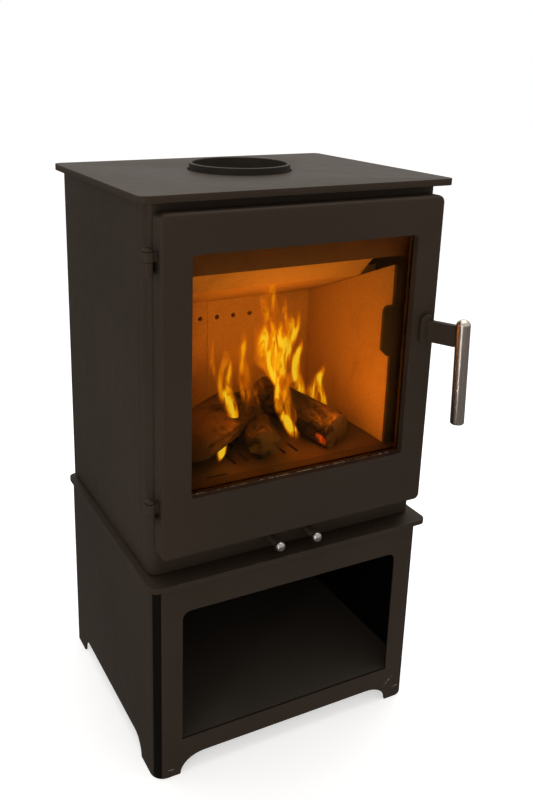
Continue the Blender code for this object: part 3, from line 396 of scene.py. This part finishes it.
# ------------------------------------------------------------------ logs
def wood():
    """Bark, split wood and cut ends, charred where the fire is, with glowing cracks."""
    material, tree, surface = new_material("burning_wood")
    own = place(tree, (1, 1, 0.16))
    whole = place(tree)
    bark = attribute(tree, "bark")
    end = attribute(tree, "end")
    char = attribute(tree, "char")
    ember = attribute(tree, "ember")
    furrow = grain(tree, own, 120, 6, 0.65, 0.8)
    fibre = grain(tree, place(tree, (1, 1, 0.05)), 420, 4, 0.6)
    patch = grain(tree, whole, 34, 5, 0.6, 0.6)
    bark_colour = mix(tree, span(tree, furrow, 0.35, 0.68), (0.022, 0.014, 0.009), (0.15, 0.095, 0.055))
    bark_colour = mix(tree, span(tree, patch, 0.55, 0.75, 0, 0.6), bark_colour, (0.17, 0.10, 0.05))
    split_colour = mix(tree, fibre, (0.050, 0.028, 0.013), (0.125, 0.075, 0.035))
    colour = mix(tree, bark, split_colour, bark_colour)
    ring_place = add_node(tree, "ShaderNodeSeparateXYZ", {"Vector": whole})
    radius = maths(tree, "SQRT", maths(tree, "ADD",
                                       maths(tree, "POWER", ring_place.outputs["X"], 2),
                                       maths(tree, "POWER", ring_place.outputs["Y"], 2)))
    wobble = maths(tree, "MULTIPLY", grain(tree, whole, 60, 3), 0.004)
    rings = maths(tree, "SINE", maths(tree, "MULTIPLY", maths(tree, "ADD", radius, wobble), 3600))
    end_colour = mix(tree, span(tree, rings, -1, 1), (0.12, 0.072, 0.034), (0.23, 0.145, 0.075))
    end_colour = mix(tree, span(tree, patch, 0.45, 0.7, 0, 0.7), end_colour, (0.09, 0.055, 0.03))
    colour = mix(tree, end, colour, end_colour)
    crack = cells(tree, place(tree, (1, 1, 0.5)), 130, feature="DISTANCE_TO_EDGE")
    black = mix(tree, span(tree, crack, 0.0, 0.12), (0.004, 0.003, 0.003), (0.032, 0.024, 0.019))
    charred = span(tree, maths(tree, "ADD", char, maths(tree, "MULTIPLY",
                   maths(tree, "SUBTRACT", patch, 0.5), 1.6)), 0.35, 0.75)
    colour = mix(tree, charred, colour, black)
    glow = maths(tree, "MULTIPLY", span(tree, ember, 0.25, 0.8),
                 span(tree, grain(tree, whole, 210, 5, 0.7), 0.42, 0.62))
    plug(tree, surface, Base_Color=colour, Roughness=span(tree, furrow, 0.3, 0.7, 0.75, 0.95),
         Specular_IOR_Level=0.25,
         Emission_Color=mix(tree, glow, (0.0, 0.0, 0.0), (1.0, 0.11, 0.008)), Emission_Strength=1.3)
    bump(tree, surface, furrow, 0.55, 0.003)
    bump(tree, surface, span(tree, crack, 0.0, 0.14), 0.35, 0.0015)
    bump(tree, surface, fibre, 0.25, 0.0006)
    return material


WOOD = wood()
AROUND = 72  # points round a log
ALONG = 44  # rings along a log
CAP_RINGS = 7


def set_attribute(mesh, name, values):
    """Stores one number for each of the mesh's points."""
    made = mesh.attributes.new(name, "FLOAT", "POINT")
    made.data.foreach_set("value", values)


def log_radius(angle, height, radius, cuts, seed):
    """Distance from the axis to the log's skin, and 1 for bark or 0 for a split face."""
    spot = Vector((math.cos(angle), math.sin(angle), 0)) * 1.3
    slow = noise.noise(spot * 0.8 + Vector((seed, 0, height * 9)))
    ridge = noise.noise(spot * 6 + Vector((0, seed, height * 14)))
    skin = radius * (1 + 0.10 * slow + 0.05 * ridge)
    bark = 1.0
    for direction, distance in cuts:
        facing = math.cos(angle - math.radians(direction))
        if facing > 0.05:
            fibre = noise.noise(Vector((angle * 9, seed + 5, height * 20)))
            flat = radius * (distance + 0.02 * fibre) / facing
            if flat < skin:
                skin, bark = flat, 0.0
    return skin, bark


def make_log(name, start, end, radius, cuts=(), seed=1.0, char_at=1.0, embers=()):
    """One log from start to end, in metres.

    cuts are split faces, each a direction in degrees and a distance in radii. char_at is how burnt
    the log is at the fire's heart, and embers are the places that glow.
    """
    start, end = Vector(start), Vector(end)
    length = (end - start).length
    axis = (end - start).normalized()
    turn = axis.to_track_quat("Z", "X").to_matrix().to_4x4()
    world = Matrix.Translation(start) @ turn
    mesh = bpy.data.meshes.new(name)
    bm = bmesh.new()
    bark, cut_end = [], []
    rings = []

    def ring(height, share, is_end):
        made = []
        for step in range(AROUND):
            angle = 2 * math.pi * step / AROUND
            skin, is_bark = log_radius(angle, height, radius, cuts, seed)
            rough = 0.0012 * noise.noise(Vector((angle * 3, share * 6, seed))) if is_end else 0.0
            direction = Vector((math.cos(angle), math.sin(angle), 0))
            made.append(bm.verts.new(direction * skin * share + Vector((0, 0, height + rough))))
            bark.append(is_bark)
            cut_end.append(1.0 if is_end else 0.0)
        rings.append(made)

    for step in range(1, CAP_RINGS + 1):
        ring(0.0, step / CAP_RINGS * 0.985, True)
    for step in range(ALONG + 1):
        ring(0.0008 + (length - 0.0016) * step / ALONG, 1.0, False)
    for step in range(CAP_RINGS, 0, -1):
        ring(length, step / CAP_RINGS * 0.985, True)
    for lower, upper in zip(rings, rings[1:]):
        for step in range(AROUND):
            after = (step + 1) % AROUND
            bm.faces.new((lower[step], lower[after], upper[after], upper[step]))
    bm.faces.new(list(reversed(rings[0])))
    bm.faces.new(rings[-1])
    bm.normal_update()
    bm.to_mesh(mesh)
    bm.free()
    mesh.shade_smooth()
    mesh.set_sharp_from_angle(angle=math.radians(50))
    chars, glows = [], []
    for vertex in mesh.vertices:
        point = world @ vertex.co
        away = (point - FIRE_HEART).length
        chars.append(max(0.0, min(1.0, char_at - away / CHAR_REACH)))
        near = min([(point - Vector(spot)).length for spot in embers], default=1.0)
        glows.append(max(0.0, 1.0 - near / EMBER_REACH))
    set_attribute(mesh, "bark", bark)
    set_attribute(mesh, "end", cut_end)
    set_attribute(mesh, "char", chars)
    set_attribute(mesh, "ember", glows)
    mesh.materials.append(WOOD)
    log = bpy.data.objects.new(name, mesh)
    log.matrix_world = world
    bpy.context.scene.collection.objects.link(log)
    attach(log, "root")


make_log("log_middle", (-0.022, -0.086, HEARTH + 0.0240), (0.010, 0.045, HEARTH + 0.034), 0.0240,
         [(195, 0.62)], 2.0, 0.95, [(0.022, -0.03, HEARTH + 0.035)])
make_log("log_right", (0.100, -0.088, HEARTH + 0.0250), (0.052, 0.060, HEARTH + 0.044), 0.0275,
         [(250, 0.82)], 5.0, 1.05, [(0.070, -0.084, HEARTH + 0.012)])
make_log("log_left", (-0.138, -0.066, HEARTH + 0.034), (-0.022, 0.004, HEARTH + 0.042), 0.0400,
         [(150, 0.60), (20, 0.70)], 8.0, 1.05, [(-0.098, -0.080, HEARTH + 0.012)])
make_log("log_back", (-0.006, 0.060, HEARTH + 0.026), (0.044, -0.012, HEARTH + 0.062), 0.0210,
         [(100, 0.6)], 11.0, 1.25)


# ------------------------------------------------------------------ flames
def flame():
    """A soft sheet of burning gas: clear at its rim, orange, then yellow where it is thick."""
    material, tree, surface = new_material("flame")
    across = attribute(tree, "across")
    along = attribute(tree, "along")
    brightness = attribute(tree, "brightness")
    bulge = maths(tree, "SUBTRACT", 1.0, maths(tree, "POWER", maths(tree, "ABSOLUTE", across), 2.0))
    thick = maths(tree, "POWER", bulge, 1.2)
    ends = maths(tree, "MULTIPLY", span(tree, along, 0.0, 0.22), span(tree, along, 1.0, 0.70))
    lick = grain(tree, place(tree, (1, 1, 0.30)), 70, 4, 0.55, 1.0)
    thick = maths(tree, "MULTIPLY", thick, maths(tree, "MULTIPLY", ends,
                  span(tree, lick, 0.34, 0.66, 0.28, 1.08)))
    body = maths(tree, "MULTIPLY", thick, brightness)
    colour = ramp(tree, body, [(0.0, (0.60, 0.12, 0.001)), (0.40, (0.85, 0.24, 0.002)),
                               (0.68, (0.97, 0.42, 0.003)), (0.90, (1.0, 0.66, 0.008)),
                               (1.0, (1.0, 0.86, 0.06))])
    clear = span(tree, body, 0.0, 1.1, 0.0, 0.80)
    plug(tree, surface, Base_Color=(0, 0, 0), Roughness=1.0, Specular_IOR_Level=0.0, Alpha=clear,
         Emission_Color=colour, Emission_Strength=1.05)
    material.surface_render_method = "BLENDED"
    material.cycles.emission_sampling = "NONE"
    return material


FLAME = flame()
FLAME_ACROSS = 12  # faces across a flame
FLAME_ALONG = 48  # faces from its foot to its tip
FLAME_BOW = 0.35  # how far its sides bend back, in half widths
FLAME_WAVER = 0.22  # how far it wavers on the way up, in half widths
MM = 0.001


def make_flame(name, brightness, foot, tip, half_width, belly, sway):
    """A bowed ribbon of fire from foot to tip.

    foot and tip are (x, y, height over the hearth), half_width and sway are lengths, all in
    millimetres. The ribbon is widest at the share belly of its way up and leans out by sway.
    """
    mesh = bpy.data.meshes.new(name)
    bm = bmesh.new()
    across, along = [], []
    rows = []
    fullness = math.log(0.5) / math.log(belly)
    for row in range(FLAME_ALONG + 1):
        share = row / FLAME_ALONG
        x, y, z = [low + (high - low) * share for low, high in zip(foot, tip)]
        x += sway * math.sin(math.pi * share)
        x += FLAME_WAVER * half_width * math.sin(3 * math.pi * share)
        half = half_width * max(0.03, math.sin(math.pi * share ** fullness))
        line = []
        for column in range(FLAME_ACROSS + 1):
            side = 2 * column / FLAME_ACROSS - 1
            back = FLAME_BOW * half * side * side
            line.append(bm.verts.new((MM * (x + side * half), MM * (y + back), HEARTH + MM * z)))
            across.append(side)
            along.append(share)
        rows.append(line)
    for lower, upper in zip(rows, rows[1:]):
        for step in range(FLAME_ACROSS):
            bm.faces.new((lower[step], lower[step + 1], upper[step + 1], upper[step]))
    bm.to_mesh(mesh)
    bm.free()
    mesh.shade_smooth()
    set_attribute(mesh, "across", across)
    set_attribute(mesh, "along", along)
    set_attribute(mesh, "brightness", [brightness] * len(across))
    mesh.materials.append(FLAME)
    ribbon = bpy.data.objects.new(name, mesh)
    bpy.context.scene.collection.objects.link(ribbon)
    ribbon.visible_shadow = False
    ribbon.visible_diffuse = False
    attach(ribbon, "root")


# The big flame in the middle with its three lobes and tall tip, then the rest. Their ends are
# rounded from places measured in the photograph; widths, bellies and sways are listed.
make_flame("flame_lobe_left", 1.25, (30, -40, 40), (-20, -36, 230), 24, 0.66, 10)
make_flame("flame_lobe_middle", 1.2, (30, -38, 50), (5, -34, 215), 36, 0.66, 5)
make_flame("flame_lobe_right", 1.2, (30, -40, 45), (52, -34, 225), 25, 0.62, -3)
make_flame("flame_tall", 0.8, (30, -20, 130), (25, -16, 300), 25, 0.35, -5)
make_flame("flame_tall_side", 0.7, (46, -20, 165), (40, -18, 240), 8, 0.35, 2)
make_flame("flame_front_line", 1.5, (52, -60, 0), (10, -52, 140), 12, 0.22, -10)
make_flame("flame_front_veil", 0.7, (42, -52, 12), (20, -46, 140), 22, 0.45, 3)
make_flame("flame_right", 1.1, (102, 8, 32), (95, 12, 158), 17, 0.40, -12)
make_flame("flame_small_right", 1.1, (134, 0, 8), (130, 2, 110), 21, 0.42, -7)
make_flame("flame_left", 1.1, (-50, -50, 26), (-70, -40, 180), 17, 0.50, -2)
make_flame("flame_left_foot", 1.4, (-88, -66, -2), (-55, -58, 66), 12, 0.45, -3)
make_flame("flame_left_thin", 0.65, (-69, -30, 95), (-82, -26, 190), 7, 0.35, -3)
make_flame("flame_haze", 0.5, (-10, -24, 38), (-12, -20, 215), 38, 0.50, -4)
make_flame("flame_edge", 0.85, (-26, -34, 45), (-34, -32, 210), 12, 0.45, -2)


# ------------------------------------------------------------------ painted firelight on the window's ledge
def ash():
    """A broken film of pale wood ash: painted firelight on the window's ledge."""
    material, tree, surface = new_material("ash")
    own = place(tree)
    patches = grain(tree, own, 90, 5, 0.65)
    colour = mix(tree, span(tree, grain(tree, own, 700, 3), 0.35, 0.65), (0.17, 0.115, 0.085),
                 (0.46, 0.35, 0.28))
    plug(tree, surface, Base_Color=colour, Roughness=0.9,
         Alpha=span(tree, patches, 0.40, 0.60, 0.25, 1.0))
    bump(tree, surface, patches, 0.4, 0.0005)
    return material


def make_painted_ledge_light(name, low, high):
    """A film or fleck of painted firelight, made as ash: a small box with soft corners between two
    points.
    """
    mesh = bpy.data.meshes.new(name)
    bm = bmesh.new()
    bmesh.ops.create_cube(bm, size=1.0)
    bmesh.ops.bevel(bm, geom=bm.edges[:], offset=0.25, segments=2, affect="EDGES")
    size = [b - a for a, b in zip(low, high)]
    for vertex in bm.verts:
        vertex.co = [a + (part + 0.5) * wide for a, part, wide in zip(low, vertex.co, size)]
    bm.to_mesh(mesh)
    bm.free()
    mesh.shade_smooth()
    mesh.materials.append(PAINTED_LEDGE_LIGHT)
    piece = bpy.data.objects.new(name, mesh)
    bpy.context.scene.collection.objects.link(piece)
    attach(piece, "door")


# Painted firelight on the window's ledge, made as a broken film of pale ash.
PAINTED_LEDGE_LIGHT = ash()
LEDGE_Y = GLASS_LOW.y
LEDGE_Z = WINDOW_LOW.z
make_painted_ledge_light("painted_ledge_light_line", (WINDOW_LOW.x + 0.003, LEDGE_Y - 0.0009, LEDGE_Z),
         (WINDOW_HIGH.x - 0.003, LEDGE_Y, LEDGE_Z + 0.0009))
for number, (share, wide) in enumerate([(0.03, 0.003), (0.37, 0.002), (0.62, 0.0025), (0.90, 0.005),
                                        (0.935, 0.0035)], 1):
    start = WINDOW_LOW.x + share * (WINDOW_HIGH.x - WINDOW_LOW.x)
    make_painted_ledge_light(f"painted_ledge_light_fleck_{number}", (start, LEDGE_Y - 0.0025, LEDGE_Z),
             (start + wide, LEDGE_Y - 0.0004, LEDGE_Z + 0.0020))


# ------------------------------------------------------------------ scratches on the stand
def bare_metal():
    """Paint worn through to grey steel in a broken line."""
    material, tree, surface = new_material("scratch")
    own = place(tree)
    colour = mix(tree, grain(tree, own, 400, 3), (0.10, 0.085, 0.07), (0.30, 0.26, 0.22))
    plug(tree, surface, Base_Color=colour, Roughness=0.5,
         Alpha=span(tree, grain(tree, own, 260, 4), 0.38, 0.58, 0.1, 1.0))
    bump(tree, surface, grain(tree, own, 900, 2), 0.2, 0.0003)
    return material


def make_scratch(name, start, end, wide):
    """A thin tapered mark on the stand's front, between two (x, z) points."""
    start, end = Vector(start), Vector(end)
    middle = (start + end) / 2
    across = Vector((start.y - end.y, end.x - start.x)).normalized() * wide / 2
    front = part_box("stand_shell")[0].y - 0.0002
    corners = [start, middle - across, end, middle + across]
    mesh = bpy.data.meshes.new(name)
    mesh.from_pydata([(spot.x, front, spot.y) for spot in corners], [], [(0, 1, 2, 3)])
    mesh.materials.append(SCRATCH)
    mark = bpy.data.objects.new(name, mesh)
    bpy.context.scene.collection.objects.link(mark)
    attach(mark, "root")


SCRATCH = bare_metal()
make_scratch("scratch_long", (0.197, 0.046), (0.176, 0.024), 0.0016)
make_scratch("scratch_foot", (0.209, 0.022), (0.195, 0.019), 0.0022)
make_scratch("scratch_left_foot", (-0.205, 0.014), (-0.192, 0.012), 0.0016)


# ------------------------------------------------------------------ studio
def make_light(name, kind, location, power, size, colour, target=None):
    """A soft lamp in watts: an area lamp aims at target, a point lamp stays out of sight."""
    data = bpy.data.lights.new(name, kind)
    data.energy = power
    data.color = colour
    if kind == "AREA":
        data.shape = "RECTANGLE"
        data.size, data.size_y = size
    else:
        data.shadow_soft_size = size
    light = bpy.data.objects.new(name, data)
    light.location = location
    if target is not None:
        light.rotation_euler = (Vector(target) - Vector(location)).to_track_quat("-Z", "Y").to_euler()
    bpy.context.scene.collection.objects.link(light)
    if kind == "POINT":
        light.visible_camera = False
        light.visible_glossy = False
        light.visible_transmission = False


def make_world():
    """An even white room: pure white behind the stove, softer as a light."""
    world = bpy.data.worlds.new("studio")
    bpy.context.scene.world = world
    world.use_nodes = True
    tree = world.node_tree
    tree.nodes.clear()
    way = add_node(tree, "ShaderNodeTexCoord").outputs["Generated"]
    height = add_node(tree, "ShaderNodeSeparateXYZ", {"Vector": way}).outputs["Z"]
    glow = span(tree, height, -0.10, 0.20, 0.13, 0.60)
    soft = add_node(tree, "ShaderNodeBackground", {"Color": (1, 0.975, 0.945, 1), "Strength": glow})
    white = add_node(tree, "ShaderNodeBackground", {"Color": (1, 1, 1, 1), "Strength": 1.0})
    seen = add_node(tree, "ShaderNodeLightPath").outputs["Is Camera Ray"]
    both = add_node(tree, "ShaderNodeMixShader", {0: seen, 1: soft.outputs[0], 2: white.outputs[0]})
    add_node(tree, "ShaderNodeOutputWorld", {"Surface": both.outputs[0]})


def make_floor():
    """Plain pale floor, a wide disc that ends far behind the stove."""
    material, tree, surface = new_material("pale_floor")
    tone = span(tree, grain(tree, place(tree), 1.5, 3), 0.3, 0.7, 0.90, 0.94)
    colour = add_node(tree, "ShaderNodeCombineColor", {0: tone, 1: tone, 2: tone}).outputs[0]
    plug(tree, surface, Base_Color=colour, Roughness=0.75, Specular_IOR_Level=0.1,
         Emission_Color=(1, 1, 1), Emission_Strength=0.52)
    mesh = bpy.data.meshes.new("floor")
    bm = bmesh.new()
    bmesh.ops.create_circle(bm, cap_ends=True, segments=96, radius=14)
    bm.to_mesh(mesh)
    bm.free()
    mesh.materials.append(material)
    floor = bpy.data.objects.new("floor", mesh)
    bpy.context.scene.collection.objects.link(floor)
    floor.visible_glossy = False  # keeps the steep sides of the stove dark


def make_camera():
    data = bpy.data.cameras.new("camera")
    data.lens = CAMERA_LENS
    data.shift_x, data.shift_y = CAMERA_SHIFT
    camera = bpy.data.objects.new("camera", data)
    camera.location = CAMERA_PLACE
    camera.rotation_euler = [math.radians(angle) for angle in CAMERA_TURN]
    bpy.context.scene.collection.objects.link(camera)
    bpy.context.scene.camera = camera


make_world()
make_floor()
make_camera()
bpy.context.scene.view_settings.view_transform = "Standard"
make_light("overhead", "AREA", (0.3, 0.5, 2.3), 26, (2.4, 2.0), (1, 0.97, 0.93), (0, 0, 0.6))
make_light("left_strip", "AREA", (-2.2, -1.5, 0.2), 13, (0.28, 2.6), (1, 0.98, 0.95), (0, 0, 0.2))
make_light("fire_main", "POINT", (0.015, -0.050, HEARTH + 0.14), 0.36, 0.035, FIRE)
make_light("fire_front", "POINT", (0.075, -0.105, HEARTH + 0.075), 0.26, 0.020, FIRE)
make_light("fire_left", "POINT", (-0.065, -0.080, HEARTH + 0.07), 0.08, 0.020, FIRE)
